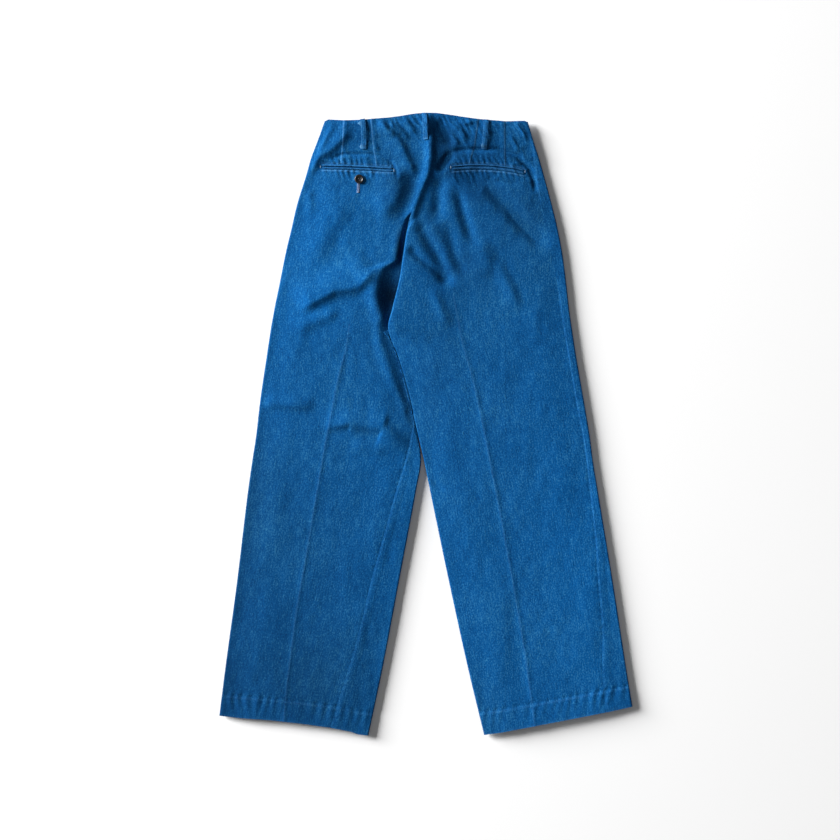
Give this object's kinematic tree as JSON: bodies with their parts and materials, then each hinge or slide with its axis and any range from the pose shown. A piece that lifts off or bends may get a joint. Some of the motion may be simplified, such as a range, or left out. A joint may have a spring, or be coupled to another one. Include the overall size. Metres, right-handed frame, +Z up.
{
  "type": "wide-leg trousers",
  "caption": "Wide-leg trousers laid flat with the back side up: darted waist with belt loops, welt pockets on the seat, one buttoned, and legs that flare to deep hems.",
  "frame": {"origin": "middle of the bounding box's underside, on the surface that the trousers lie on", "axes": "+Y towards the waist, +Z up from the front panels to the back panels, +X across the legs"},
  "size_m": [0.6824, 1.0267, 0.0132],
  "materials": {
    "cloth": "matte indigo-blue cotton twill",
    "button": "dark satin button plastic"
  },
  "bodies": {
    "root": {"back_left": "cloth", "back_right": "cloth", "front_left": "cloth", "front_right": "cloth", "belt_loop_back_left": "cloth", "belt_loop_back_centre": "cloth", "belt_loop_back_right": "cloth", "belt_loop_front_left": "cloth", "belt_loop_front_right": "cloth", "back_pocket_left_upper_welt": "cloth", "back_pocket_left_lower_welt": "cloth", "back_pocket_right_upper_welt": "cloth", "back_pocket_right_lower_welt": "cloth", "back_pocket_button": "button", "waist_button": "button"}
  },
  "joints": []
}
